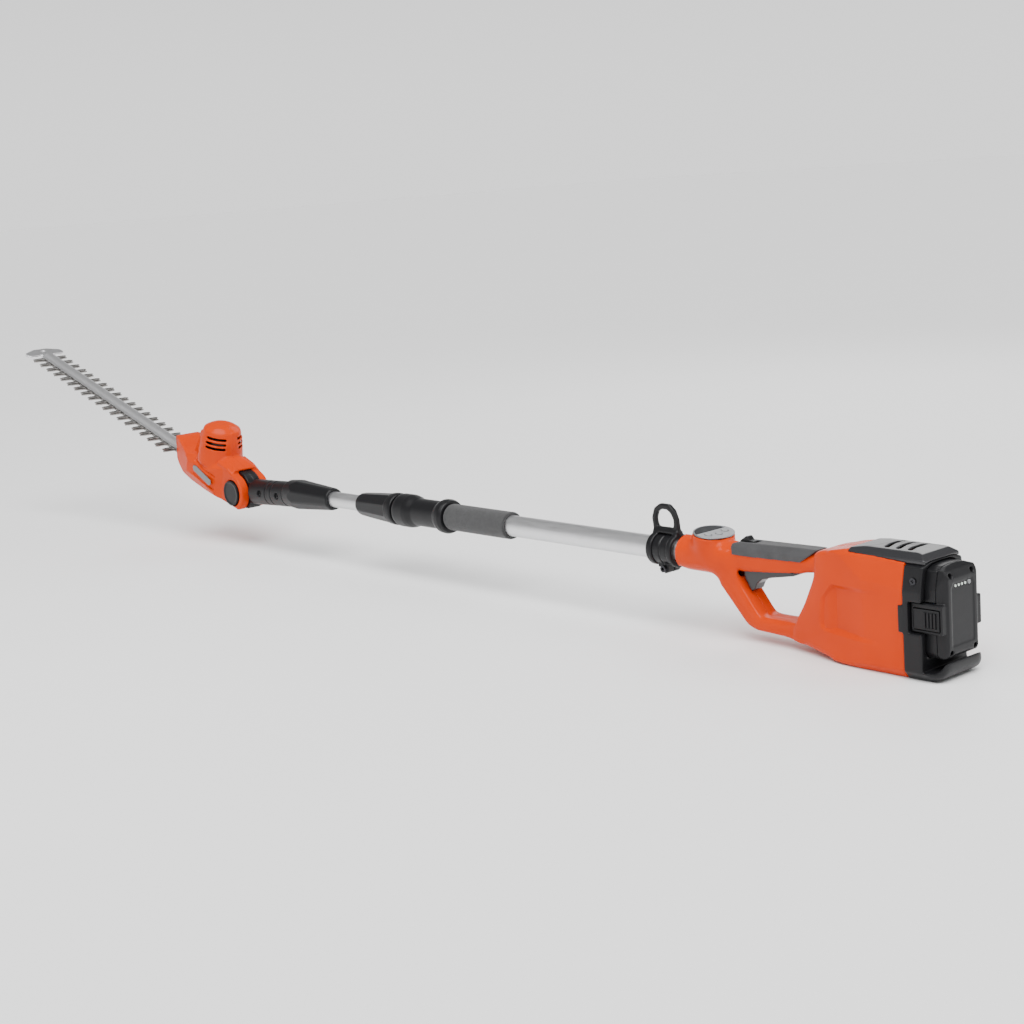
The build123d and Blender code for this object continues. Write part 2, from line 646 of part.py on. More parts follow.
def lock_collar():
    """The twist collar: a tapered sleeve with eight long flats and a round nose."""
    rear, front = LOCK_REAR_X, LOCK_FRONT_X
    outer = turned([(rear, 0), (front, 0), (front, 15.5), (front - 4, 17.6), (front - 9, 18.3),
                    (rear + 8, 24.6), (rear + 3, 24.6), (rear, 23.4)])
    flats = Pos(front + 20, 0, AXIS_Z) * Rot(0, -90, 0) * facet_cone(17.0, 25.4, 130)
    collar_body = outer & (flats + rod_x(rear, rear + 16, 30, z=AXIS_Z))
    bore = turned([(rear - 1, 0), (front + 1, 0), (front + 1, 13.2), (front - 5, 13.2), (front - 5, 15.3),
                   (rear - 1, 15.3)])
    return collar_body - bore


def facet_cone(small_r, large_r, length):
    """An eight-sided cone, small end at the origin, growing along Z."""
    small = RegularPolygon(small_r, 8, rotation=22.5)
    large = Pos(0, 0, length) * RegularPolygon(large_r, 8, rotation=22.5)
    return loft([small, large])


def harness_clamp():
    """The carrying-strap eye: two rings round the pole joined by a bridge with an upright loop."""
    low, high = CLAMP_X - 22, CLAMP_X + 22
    rings = rod_x(low, low + 9, 22.0, z=AXIS_Z) + rod_x(high - 10, high, 22.0, z=AXIS_Z)
    bridge = box((low, -6, AXIS_Z + 16), (high, 6, AXIS_Z + 25.5))
    loop = outline([(low, 118), (low + 2, 138), (low + 7, 150), (low + 16, 157.5), (low + 32, 157.5),
                    (low + 42, 151), (high + 3, 138), (high, 118)], 4.5)
    hole = outline([(low + 9, 127), (low + 9, 138), (low + 13.5, 146), (low + 20, 150), (low + 30, 150),
                    (low + 36.5, 146), (low + 40, 137), (low + 38, 127)], 3.2)
    clamp = rings + bridge + side_plate(loop, -3.6, 3.6)
    clamp -= side_plate(hole, -10, 10)
    clamp -= rod_x(low - 5, high + 5, OUTER_TUBE_R + RUNNING_GAP, z=AXIS_Z)
    return clamp - rod_x(low + 9, high - 10, 21.6, z=AXIS_Z)


def harness_band():
    """The split band between the rings, closed by a bolt below the pole."""
    low, high = CLAMP_X - 13 + TOUCH_GAP, CLAMP_X + 12 - TOUCH_GAP
    band = rod_x(low, high, 20.0, z=AXIS_Z)
    boss = rod_y(-12, 12, 6.5, CLAMP_BOLT_X, CLAMP_BOLT_Z)
    boss += box((low + 4, -12, AXIS_Z - 22), (high - 3, 12, AXIS_Z - 12))
    band += boss
    band -= rod_x(low - 5, high + 5, OUTER_TUBE_R + RUNNING_GAP, z=AXIS_Z)
    band -= box((low - 5, -1, AXIS_Z - 40), (high + 5, 1, AXIS_Z))
    return band - rod_y(-20, 20, 2.6, CLAMP_BOLT_X, CLAMP_BOLT_Z)


def clamp_bolt():
    """The cap screw that closes the band, and its hexagon nut."""
    face = 12 + TOUCH_GAP
    seat = Pos(CLAMP_BOLT_X, 0, CLAMP_BOLT_Z) * Rot(90, 0, 0)
    bolt = rod_y(-16, face, 2.5, CLAMP_BOLT_X, CLAMP_BOLT_Z)
    bolt += rod_y(face, 15.5, 4.5, CLAMP_BOLT_X, CLAMP_BOLT_Z)
    bolt -= seat * Pos(0, 0, -15.6) * lift(RegularPolygon(2.4, 6), 2.4)
    nut = seat * Pos(0, 0, face) * lift(RegularPolygon(4.6, 6) - Circle(2.55), 3.6)
    return Compound(children=[bolt, nut])


# ---------------------------------------------------------------- neck and knuckle
def neck():
    """The knuckle tongue and the round neck behind it, before it is split into halves."""
    length = NECK_FRONT_X - NECK_SEAM_X
    profile = [(0, 0), (0, NECK_R)]
    for groove_x in (34.0, 49.5):
        profile += [(groove_x - 1.6, NECK_R), (groove_x - 0.8, NECK_R - 1), (groove_x + 0.8, NECK_R - 1),
                    (groove_x + 1.6, NECK_R)]
    profile += [(length - 5, NECK_R + 0.6), (length, NECK_R - 3), (length, 0)]
    stem = Pos(NECK_SEAM_X, 0, AXIS_Z - 2) * Rot(0, NECK_DROOP, 0) * turned(profile, 0)
    tongue = rod_y(-TONGUE_HALF, TONGUE_HALF, TONGUE_R, PIVOT_X, PIVOT_Z)
    tongue = tongue & box((NECK_FRONT_X - 20, -60, PIVOT_Z - TONGUE_LOW), (PIVOT_X + 60, 60, PIVOT_Z + 60))
    tongue += box((NECK_FRONT_X - 5, -TONGUE_HALF, PIVOT_Z - 17), (PIVOT_X, TONGUE_HALF, PIVOT_Z + 18))
    whole = stem + tongue
    whole -= rod_y(-30, 30, PIN_R + RUNNING_GAP, PIVOT_X, PIVOT_Z)
    whole -= rod_x(NECK_SEAM_X - 5, INNER_TUBE_FRONT_X + 1, NECK_TUBE_R, z=AXIS_Z)
    whole -= rod_x(INNER_TUBE_FRONT_X, NECK_FRONT_X + 18, 5.0, z=AXIS_Z)
    for x in (NECK_LONG_SCREW_X, NECK_SHORT_SCREW_X):
        whole -= rod_y(16.5, 40, NECK_WELL_R, x, NECK_SCREW_Z)
    whole -= screw_seat_y(NECK_LONG_SCREW_X, NECK_SCREW_Z, 16.0, 28, 1)
    return whole - rod_y(12, 40, SCREW_HEAD_R, NECK_SHORT_SCREW_X, NECK_SCREW_Z)


def neck_halves():
    whole = neck()
    return {"neck_left": half(whole, 1), "neck_right": half(whole, -1)}


def neck_screws():
    long_screw = screw_y(NECK_LONG_SCREW_X, NECK_SCREW_Z, 16.0, 28, 1)
    short_screw = rod_y(12.7, 15.2, SCREW_HEAD_R - TOUCH_GAP, NECK_SHORT_SCREW_X, NECK_SCREW_Z)
    return Compound(children=[long_screw, short_screw])


def neck_sleeve():
    """The faceted sleeve between the neck and the bare inner tube, widest a little behind the seam."""
    length = NECK_SEAM_X - NECK_REAR_X + 8
    taper = Pos(NECK_REAR_X - 6, 0, AXIS_Z) * Rot(0, 90, 0) * facet_cone(18.3, 26.9, length)
    front = NECK_SEAM_X - 1.1
    body = turned([(NECK_REAR_X, 0), (NECK_REAR_X, 16.4), (NECK_REAR_X + 3, 17.9), (SLEEVE_BULGE_X, 24.2),
                   (front - 2, 22.2), (front, 21.2), (front, 0)])
    return body & taper - rod_x(NECK_REAR_X - 8, NECK_SEAM_X + 5, NECK_TUBE_R, z=AXIS_Z)


# ---------------------------------------------------------------- cutting head shells
def head_body(inset):
    """The boat-shaped body, drawn level, from the ears to the mouth that the blades leave by."""
    side = outline([(8, EAR_LOW_N), (22, -22.5), (55, -25.6), (75, -29.8), (95, -30.4), (119, -27),
                    (165, -12.4), (176, -6), (184, 11), (HEAD_FRONT_S, 28), (189, 32), (176, 33.5),
                    (163, 31.5), (150, 26.5), (134, 24), (117, 27), (60, 45), (40, 45), (5, 39.5), (5, 30)])
    plan = outline(mirrored_points([(5, EAR_OUTER), (30, EAR_OUTER), (52, 33), (75, HEAD_HALF),
                                    (125, HEAD_HALF), (150, 32), (178, 26), (HEAD_FRONT_S + 2, 19.5)]))
    end = across([(-34, 20), (-24, 30), (-8, HEAD_HALF), (14, HEAD_HALF), (27, 32), (40, 20), (46, 12)])
    body = side_plate(shrunk(side, inset), -60, 60) & plan_plate(shrunk(plan, inset), -60, 60)
    return body & end_plate(shrunk(end, inset), 0, 240)


def motor_dome(inset):
    """The round tower over the motor: it narrows upwards and has a small flat top."""
    profile = [(0, 0)]
    for height, radius in DOME_STEPS:
        profile.append((max(radius - inset, 4.0), height if height == 0.0 else height - inset))
    profile.append((0, DOME_STEPS[-1][0] - inset))
    return Pos(MOTOR_S, 0, 0) * Rot(90, 0, 0) * revolve(Polygon(*profile, align=None), Axis.Y, 360)


def dome_prow():
    """The wedge that carries the tower's front face down to the saddle."""
    side = outline([(90, 75), (107, 75), (114, 64), (120, 51), (132, 27), (136, 19), (90, 19)])
    plan = outline(mirrored_points([(90, 32), (107, 27), (120, 22.5), (137, 19)]))
    return side_plate(side, -60, 60) & plan_plate(plan, 0, 100)


def head_ears():
    """The two fork ears that carry the pivot pin, flat below, with the cheeks that join them to the body."""
    ears = []
    for side in (1, -1):
        low, high = sorted((side * (TONGUE_HALF + BODY_GAP), side * EAR_OUTER))
        cheek = outline([(0, EAR_LOW_N), (50, -25), (50, 40), (20, 38), (0, EAR_R)])
        ear = rod_y(low, high, EAR_R) & box((-60, low, EAR_LOW_N), (60, high, 60))
        ears.append(ear + side_plate(cheek, low, high))
    return ears[0] + ears[1]


def head_shell():
    """Both shells in one piece: hollow from the motor forwards, with solid cheeks round the tongue."""
    tower = box((0, -60, 22), (200, 60, 100))
    outer = head_body(0) + head_ears() + (motor_dome(0) & tower) + dome_prow()
    cavity = head_body(SHELL_WALL) + (motor_dome(SHELL_WALL) & tower)
    shell = outer - (cavity & box((42, -60, -60), (250, 60, 100)))
    gap_half = TONGUE_HALF + BODY_GAP
    shell -= rod_y(-gap_half, gap_half, TONGUE_R + 1.0)
    shell -= box((-60, -gap_half, -50), (5, gap_half, 50))
    shell -= rod_y(-60, 60, PIN_R)
    for side in (1, -1):
        shell -= span_y(side * 20.5, side * 60.0, PIVOT_CAP_R + 0.3, 0, 0)
    shell -= box((150, -15.5, BLADE_MID_N - BLADE_THICK - 1.8), (240, 15.5, 7.0))
    for s, n, head_y in HEAD_SCREWS:
        shell += rod_y(-HEAD_HALF, HEAD_HALF, SCREW_HEAD_R + 2.0, s, n) & outer
    for s, n, head_y in HEAD_SCREWS:
        shell -= screw_seat_y(s, n, -head_y, HEAD_SCREW_LENGTH, -1)
    shell -= badge_blank(TOUCH_GAP)
    for turn in (-1, 1):
        for level in range(3):
            slot = box((26, -18, VENT_LOW_N + 8 * level), (50, 18, VENT_LOW_N + 3.6 + 8 * level))
            shell -= Pos(MOTOR_S, 0, 0) * Rot(0, 0, 180 + turn * 51) * slot
    return shell


def head_shells():
    whole = head_shell()
    return {"head_shell_left": on_head(half(whole, 1)), "head_shell_right": on_head(half(whole, -1))}


def head_screws():
    screws = [screw_y(s, n, -head_y, HEAD_SCREW_LENGTH, -1) for s, n, head_y in HEAD_SCREWS]
    return on_head(Compound(children=screws))


def badge_blank(grow):
    shape = outline([(50, -3), (55, -6), (104, 2), (107, 7), (104, 12), (98, 13), (52, 5), (50, 2)])
    return side_plate(shrunk(shape, -grow), HEAD_HALF - 1.5 - grow, BADGE_FACE_Y)


def head_badge():
    return on_head(badge_blank(0))


def pivot_pin():
    return on_head(rod_y(-20.4, 20.4, PIN_R - 0.02))


def pivot_cap(side):
    """A dished round cap in the ear: the left one is the button that frees the tilt lock."""
    cap = span_y(side * PIVOT_CAP_INNER, side * PIVOT_CAP_OUTER, PIVOT_CAP_R, 0, 0)
    dish = span_y(side * (PIVOT_CAP_OUTER - 0.8), side * (PIVOT_CAP_OUTER + 1), PIVOT_CAP_R - 4, 0, 0)
    return on_head(cap - dish)


# ---------------------------------------------------------------- drive
def toothed_wheel(teeth, thickness):
    """A spur wheel with plain trapezoid teeth, standing on the plane n = 0."""
    pitch_r = teeth * GEAR_MODULE / 2
    root_r = pitch_r - 1.15 * GEAR_MODULE
    tip_r = pitch_r + 0.85 * GEAR_MODULE
    step = 360 / teeth
    points = []
    for i in range(teeth):
        for radius, turn in ((root_r, -0.36), (tip_r, -0.12), (tip_r, 0.12), (root_r, 0.36)):
            angle = math.radians((i + turn) * step)
            points.append((radius * math.cos(angle), radius * math.sin(angle)))
    return lift(outline(points), thickness)


def drive_gear():
    """The big gear with its shaft above and two crank pins below, half a turn apart."""
    turn = Rot(0, 0, 180 / GEAR_TEETH)
    gear = Pos(GEAR_S, 0, GEAR_LOW_N) * turn * toothed_wheel(GEAR_TEETH, GEAR_HIGH_N - GEAR_LOW_N)
    shaft = rod_z(GEAR_HIGH_N - 0.1, PLATE_HIGH_N - 0.2, GEAR_SHAFT_R, GEAR_S)
    front_crank = rod_z(BLADE_MID_N + BLADE_GAP, GEAR_LOW_N + 0.1, CRANK_R, GEAR_S + CRANK_THROW)
    rear_crank = rod_z(BLADE_MID_N - BLADE_THICK, GEAR_LOW_N + 0.1, CRANK_R, GEAR_S - CRANK_THROW)
    return on_head(gear + shaft + front_crank + rear_crank)


def motor_rotor():
    pinion = Pos(MOTOR_S, 0, GEAR_LOW_N) * toothed_wheel(PINION_TEETH, GEAR_HIGH_N - GEAR_LOW_N)
    shaft = rod_z(GEAR_LOW_N, MOTOR_HIGH_N + 9, MOTOR_SHAFT_R, MOTOR_S)
    core = rod_z(MOTOR_LOW_N + 9, MOTOR_HIGH_N - 9, 13, MOTOR_S)
    return on_head(pinion + shaft + core)


def motor_fan():
    """The cooling fan on top of the motor, nine vanes on a disc."""
    low_n = MOTOR_HIGH_N + 2
    fan = rod_z(low_n, low_n + 7, 6, MOTOR_S) + rod_z(low_n, low_n + 1.2, 24, MOTOR_S)
    for i in range(9):
        vane = box((5, -0.8, low_n), (23, 0.8, low_n + 7))
        fan += Pos(MOTOR_S, 0, 0) * Rot(0, 0, 40 * i) * vane
    return on_head(fan - rod_z(low_n - 1, low_n + 10, MOTOR_SHAFT_R, MOTOR_S))


def motor_stator():
    """The motor's steel can, with a bearing seat in its lid."""
    can = rod_z(MOTOR_LOW_N, MOTOR_HIGH_N, MOTOR_R, MOTOR_S)
    can -= rod_z(MOTOR_LOW_N + 2, MOTOR_HIGH_N - 2, MOTOR_R - 3, MOTOR_S)
    return on_head(can - rod_z(MOTOR_LOW_N - 5, MOTOR_HIGH_N + 5, MOTOR_BEARING_R + RUNNING_GAP, MOTOR_S))


def stator_windings():
    """Six wound poles between the can and the rotor."""
    poles = []
    for i in range(6):
        pole = box((14.5, -4.5, MOTOR_LOW_N + 8), (22.4, 4.5, MOTOR_HIGH_N - 8))
        poles.append(Pos(MOTOR_S, 0, 0) * Rot(0, 0, 60 * i + 30) * pole)
    return on_head(Compound(children=poles))


def bearing(low, high, s, bore, outer):
    """A ball bearing, drawn as a closed ring."""
    return rod_z(low, high, outer, s) - rod_z(low - 1, high + 1, bore + RUNNING_GAP, s)


def bearings():
    """Two bearings on the motor shaft and one on the gear shaft."""
    foot = bearing(PLATE_LOW_N + 0.4, PLATE_HIGH_N - 0.4, MOTOR_S, MOTOR_SHAFT_R, MOTOR_BEARING_R)
    lid = bearing(MOTOR_HIGH_N - 4, MOTOR_HIGH_N, MOTOR_S, MOTOR_SHAFT_R, MOTOR_BEARING_R)
    gear = bearing(PLATE_LOW_N + 0.2, PLATE_HIGH_N, GEAR_S, GEAR_SHAFT_R, GEAR_BEARING_R)
    return on_head(Compound(children=[foot, lid, gear]))


def gearbox_plate():
    """The cast plate between motor and gears: it holds the bearings and carries the bar on its nose."""
    shape = outline(mirrored_points([(52, 20), (62, 28), (130, 28), (138, 12), (160, 12)]))
    plate = plan_plate(shape, PLATE_LOW_N, PLATE_HIGH_N)
    plate += box((BAR_REAR_S + 2, -9, BAR_LOW_N + 7.3), (160, 9, PLATE_LOW_N + 1))
    plate -= rod_z(0, 30, GEAR_BEARING_R + RUNNING_GAP, GEAR_S)
    return on_head(plate - rod_z(0, 30, MOTOR_BEARING_R + RUNNING_GAP, MOTOR_S))


# ---------------------------------------------------------------- cutting bar
def tooth(center_s, side):
    """One cutting tooth, wide at its root on the blade and narrow at its blunt tip, on side +1 or -1."""
    root = BLADE_HALF - 1
    shape = outline([(-5.5, root), (5.5, root), (3.2, root + 5), (2.6, TOOTH_HALF - 6), (1.3, TOOTH_HALF),
                     (-1.3, TOOTH_HALF), (-2.6, TOOTH_HALF - 6), (-3.2, root + 5)])
    return Pos(center_s, 0) * Rot(0, 0, 90 - side * 90) * shape


def plan_box(low_s, high_s, half_y):
    return outline(mirrored_points([(low_s, half_y), (high_s, half_y)]))


def blade(low_n, shift):
    """One reciprocating blade: a slotted bar with a row of teeth on each side and a yoke at the drive end."""
    shape = plan_box(GEAR_S + YOKE_HALF_S - 2, TIP_TOOTH_S + 3, BLADE_HALF)
    shape += plan_box(GEAR_S - YOKE_HALF_S, GEAR_S + YOKE_HALF_S, YOKE_HALF_Y)
    for i in range(TOOTH_COUNT):
        for side in (1, -1):
            shape += tooth(ROOT_TOOTH_S + i * TOOTH_PITCH + shift, side)
    shape -= plan_box(GEAR_S - WINDOW_HALF_S, GEAR_S + WINDOW_HALF_S, WINDOW_HALF_Y)
    for s in BOLT_S:
        shape -= Pos(s, 0) * SlotOverall(2 * (STROKE + BOLT_R + 0.6), 2 * (BOLT_R + 0.3))
    return on_head(plan_plate(shape, low_n, low_n + BLADE_THICK))


def blade_guide_bar():
    """The half-round channel over the blades."""
    low = BAR_LOW_N
    section = across([(low, 13), (low + 1.5, 13), (low + 4.6, 10), (low + 6.6, 5), (low + 7.2, 1)])
    hollow = across([(low - 1, 9.5), (low + 2, 9.5), (low + 4, 5)])
    bar = end_plate(section, BAR_REAR_S, TIP_GUARD_S - 2)
    bar -= end_plate(hollow, BAR_REAR_S - 1, TIP_GUARD_S - 20)
    for s in BOLT_S:
        bar += rod_z(low, low + 5, 5, s)
        bar -= rod_z(low - 5, low + 4, BOLT_R, s)
    return on_head(bar)


def blade_bolts():
    """Shoulder bolts that hold the blades up against the bar, with washers below."""
    washer_n = BLADE_MID_N - BLADE_THICK - BLADE_GAP
    bolts = []
    for s in BOLT_S:
        shank = rod_z(washer_n - 2.6, BAR_LOW_N + 3.9, BOLT_R, s)
        bolts.append(shank + rod_z(washer_n - 2.6, washer_n - 0.1, 7, s))
    return on_head(Compound(children=bolts))


def tip_guard():
    """The anchor-shaped guard at the bar's tip, with a hole to hang the tool by.
    Its rear part is thinner, and the blades slide under it."""
    s = TIP_GUARD_S
    low_n = BLADE_MID_N - 1
    shape = outline(mirrored_points([(s - 2, 9), (s + 2, 14), (s + 1, 34), (s + 9, 38), (s + 20, 36),
                                     (s + 32, 14)]))
    plate = plan_plate(shape, low_n, low_n + 7)
    plate -= box((s - 5, -40, low_n - 1), (s + 13, 40, BAR_LOW_N))
    return on_head(plate - rod_z(low_n - 1, low_n + 9, HANG_HOLE_R, s + 18))


# ---------------------------------------------------------------- the whole tool
def all_parts():
    parts = {}
    parts.update(rear_housing_halves())
    parts["housing_screws"] = housing_screws()
    parts["grip_insert"] = grip_insert()
    parts["top_cover"] = top_cover()
    parts["battery_frame"] = battery_frame()
    parts["terminal_block"] = terminal_block()
    parts["control_board"] = control_board()
    parts["trigger_switch"] = trigger_switch()
    parts["trigger"] = trigger()
    parts["trigger_pin"] = trigger_pin()
    parts["lockout_lever"] = lockout_lever()
    parts["lockout_pin"] = lockout_pin()
    parts["pod_bezel"] = pod_bezel()
    parts["display_window"] = display_window()
    parts["keypad_board"] = keypad_board()
    for name, (x, y) in KEYS.items():
        parts[name] = key_cap(x, y)
    parts["battery_case"] = battery_case()
    parts["battery_end_cap"] = battery_end_cap()
    parts["battery_screws"] = battery_screws()
    parts["battery_cells"] = battery_cells()
    parts["charge_lamps"] = charge_lamps()
    parts["charge_button"] = charge_button()
    parts["battery_latch_left"] = battery_latch(1)
    parts["battery_latch_right"] = battery_latch(-1)
    parts["pole_outer_tube"] = pole_outer_tube()
    parts["foam_sleeve"] = foam_sleeve()
    parts["coupling_body"] = coupling_body()
    parts["tube_collet"] = tube_collet()
    parts["lock_collar"] = lock_collar()
    parts["harness_clamp"] = harness_clamp()
    parts["harness_band"] = harness_band()
    parts["clamp_bolt"] = clamp_bolt()
    parts["pole_inner_tube"] = pole_inner_tube()
    parts["guide_bush"] = guide_bush()
    parts.update(neck_halves())
    parts["neck_screws"] = neck_screws()
    parts["neck_sleeve"] = neck_sleeve()
    parts.update(head_shells())
    parts["head_screws"] = head_screws()
    parts["head_badge"] = head_badge()
    parts["pivot_pin"] = pivot_pin()
    parts["pivot_lock_button"] = pivot_cap(1)
    parts["pivot_cap"] = pivot_cap(-1)
    parts["motor_stator"] = motor_stator()
    parts["stator_windings"] = stator_windings()
    parts["motor_rotor"] = motor_rotor()
    parts["motor_fan"] = motor_fan()
    parts["head_bearings"] = bearings()
    parts["gearbox_plate"] = gearbox_plate()
    parts["drive_gear"] = drive_gear()
    parts["upper_blade"] = blade(BLADE_MID_N + BLADE_GAP, REST_SHIFT)
    parts["lower_blade"] = blade(BLADE_MID_N - BLADE_THICK, -REST_SHIFT)
    parts["blade_guide_bar"] = blade_guide_bar()
    parts["blade_bolts"] = blade_bolts()
    parts["tip_guard"] = tip_guard()
    return parts


os.makedirs("parts", exist_ok=True)
for node, solid in all_parts().items():
    export_step(solid, f"parts/{node}.step")
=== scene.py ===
"""The looks of a cordless pole hedge trimmer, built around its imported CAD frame.

Everything is in metres in the frame's own axes: +X runs along the pole towards the cutting head,
+Y is the user's left and +Z is up.
"""

import json
import math

import bmesh
import bpy
import numpy as np
from mathutils import Matrix, Vector

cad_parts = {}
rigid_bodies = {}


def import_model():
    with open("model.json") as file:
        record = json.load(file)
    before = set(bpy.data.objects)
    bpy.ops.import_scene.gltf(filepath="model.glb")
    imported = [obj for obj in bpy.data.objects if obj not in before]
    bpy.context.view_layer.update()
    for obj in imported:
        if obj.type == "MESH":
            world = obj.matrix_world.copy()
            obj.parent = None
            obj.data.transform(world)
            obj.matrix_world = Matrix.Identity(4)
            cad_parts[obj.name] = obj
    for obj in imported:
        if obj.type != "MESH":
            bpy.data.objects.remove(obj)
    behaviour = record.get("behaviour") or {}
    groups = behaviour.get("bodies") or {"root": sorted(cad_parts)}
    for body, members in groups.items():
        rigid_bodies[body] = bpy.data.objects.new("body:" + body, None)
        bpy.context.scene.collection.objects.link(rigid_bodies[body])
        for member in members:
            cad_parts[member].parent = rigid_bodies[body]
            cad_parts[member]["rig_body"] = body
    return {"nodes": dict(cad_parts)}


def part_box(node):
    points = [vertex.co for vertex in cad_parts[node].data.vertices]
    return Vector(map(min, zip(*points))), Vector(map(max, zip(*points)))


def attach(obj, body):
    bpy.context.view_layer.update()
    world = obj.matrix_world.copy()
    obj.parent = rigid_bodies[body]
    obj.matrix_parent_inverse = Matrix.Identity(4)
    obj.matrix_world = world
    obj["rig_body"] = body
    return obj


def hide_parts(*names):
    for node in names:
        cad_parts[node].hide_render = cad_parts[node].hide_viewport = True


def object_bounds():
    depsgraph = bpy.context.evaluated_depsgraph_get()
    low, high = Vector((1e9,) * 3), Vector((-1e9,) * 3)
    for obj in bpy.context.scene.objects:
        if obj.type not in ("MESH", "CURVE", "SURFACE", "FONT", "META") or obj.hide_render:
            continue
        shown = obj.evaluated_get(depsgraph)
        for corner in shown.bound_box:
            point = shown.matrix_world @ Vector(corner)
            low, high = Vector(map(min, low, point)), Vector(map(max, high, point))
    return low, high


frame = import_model()
cad_low, cad_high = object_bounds()
NODES = frame["nodes"]
MM = 0.001

# ---------------------------------------------------------------- places taken from the frame
HEAD_PITCH = math.radians(17.7)
PIVOT = (Vector(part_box("pivot_pin")[0]) + Vector(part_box("pivot_pin")[1])) / 2
POD_MIDDLE = (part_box("pod_bezel")[0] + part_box("pod_bezel")[1]) / 2
TUBE_AXIS_Z = (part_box("pole_outer_tube")[0].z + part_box("pole_outer_tube")[1].z) / 2

# ---------------------------------------------------------------- camera and light
CAMERA_PLACE = Vector((-1.1876, 1.6431, 0.5926))
CAMERA_YAW = 40.70
CAMERA_PITCH = 10.67
CAMERA_ROLL = 4.19
CAMERA_LENS = 63.9
# strength of the white room near its floor and overhead, and the sines of the heights it changes between
WALL_LIGHT = 1.37
ROOM_LIGHT = 0.25
WALL_FADE_FROM = 0.02
WALL_FADE_TO = 0.45
SUN_LIGHT = 4.6
SUN_SPREAD = math.radians(50)
SUN_TURN = (math.radians(-14), math.radians(-16), 0)
FLOOR_HALF = 40.0


# ---------------------------------------------------------------- materials
# the colour sockets of Blender's Mix node, which shares its names between its types of value
MIX_COLOUR_A = 6
MIX_COLOUR_B = 7
MIX_COLOUR_OUT = 2


class Look:
    """A material being put together: its nodes are added and joined by short calls."""

    def __init__(self, name):
        self.material = bpy.data.materials.new(name)
        self.material.use_nodes = True
        self.tree = self.material.node_tree
        self.shader = self.tree.nodes["Principled BSDF"]
        self.place = self.tree.nodes.new("ShaderNodeTexCoord").outputs["Object"]

    def feed(self, value, socket):
        """Gives a socket a number, a colour, or another node's output."""
        if isinstance(value, bpy.types.NodeSocket):
            self.tree.links.new(value, socket)
        else:
            socket.default_value = value

    def set(self, **values):
        for name, value in values.items():
            self.feed(value, self.shader.inputs[name.replace("_", " ")])

    def stretched(self, stretch):
        node = self.tree.nodes.new("ShaderNodeVectorMath")
        node.operation = "MULTIPLY"
        self.feed(self.place, node.inputs[0])
        self.feed(stretch, node.inputs[1])
        return node.outputs[0]

    def noise(self, size, detail=3.0, stretch=(1, 1, 1)):
        """Cloudy noise whose blobs are about size metres across."""
        node = self.tree.nodes.new("ShaderNodeTexNoise")
        self.feed(self.stretched(stretch), node.inputs["Vector"])
        self.feed(1 / size, node.inputs["Scale"])
        self.feed(detail, node.inputs["Detail"])
        return node.outputs["Fac"]

    def cells(self, size, feature="F1"):
        node = self.tree.nodes.new("ShaderNodeTexVoronoi")
        node.feature = feature
        self.feed(self.stretched((1, 1, 1)), node.inputs["Vector"])
        self.feed(1 / size, node.inputs["Scale"])
        return node.outputs["Distance"]

    def spread(self, value, low, high, to_low, to_high):
        """Maps a value from one range to another, held at its ends."""
        node = self.tree.nodes.new("ShaderNodeMapRange")
        for socket, number in zip(node.inputs, (value, low, high, to_low, to_high)):
            self.feed(number, socket)
        return node.outputs[0]

    def times(self, a, b):
        node = self.tree.nodes.new("ShaderNodeMath")
        node.operation = "MULTIPLY"
        self.feed(a, node.inputs[0])
        self.feed(b, node.inputs[1])
        return node.outputs[0]

    def mixed(self, share, a, b):
        node = self.tree.nodes.new("ShaderNodeMix")
        node.data_type = "RGBA"
        self.feed(share, node.inputs[0])
        self.feed(a, node.inputs[MIX_COLOUR_A])
        self.feed(b, node.inputs[MIX_COLOUR_B])
        return node.outputs[MIX_COLOUR_OUT]

    def edges(self, low, high):
        """1 on sharp outer edges and 0 elsewhere."""
        node = self.tree.nodes.new("ShaderNodeNewGeometry")
        return self.spread(node.outputs["Pointiness"], low, high, 0.0, 1.0)

    def relief(self, height, depth, strength=1.0, under=None):
        node = self.tree.nodes.new("ShaderNodeBump")
        self.feed(height, node.inputs["Height"])
        self.feed(depth, node.inputs["Distance"])
        self.feed(strength, node.inputs["Strength"])
        if under is not None:
            self.feed(under, node.inputs["Normal"])
        return node.outputs["Normal"]


def tint(red, green, blue):
    return (red, green, blue, 1.0)


def darkened(colour, share):
    return tint(*(value * share for value in colour[:3]))


def plastic(name, colour, worn, rough, grain, depth, gloss=0.0, wear=0.25, shine=0.3):
    """Moulded plastic: grained skin, uneven polish, faint flow clouds and rubbed edges.

    grain is the size of the skin's bumps and depth their height, both in metres.
    """
    look = Look(name)
    clouds = look.noise(0.06, 2.0)
    shade = look.mixed(look.spread(clouds, 0.35, 0.65, 0.0, 0.35), colour, darkened(colour, 0.82))
    rub = look.times(look.edges(0.54, 0.63), look.spread(look.noise(0.004, 4.0), 0.42, 0.62, 0.0, wear))
    fine = look.noise(grain, 2.0)
    skin = look.relief(fine, depth)
    look.set(Base_Color=look.mixed(rub, shade, worn),
             Roughness=look.spread(look.noise(0.012, 5.0), 0.3, 0.7, rough * 0.93, rough * 1.08),
             Normal=look.relief(look.noise(0.03, 1.0), depth * 0.8, 0.5, skin))
    look.set(Coat_Weight=gloss, Coat_Roughness=0.09, Specular_IOR_Level=shine)
    return look.material


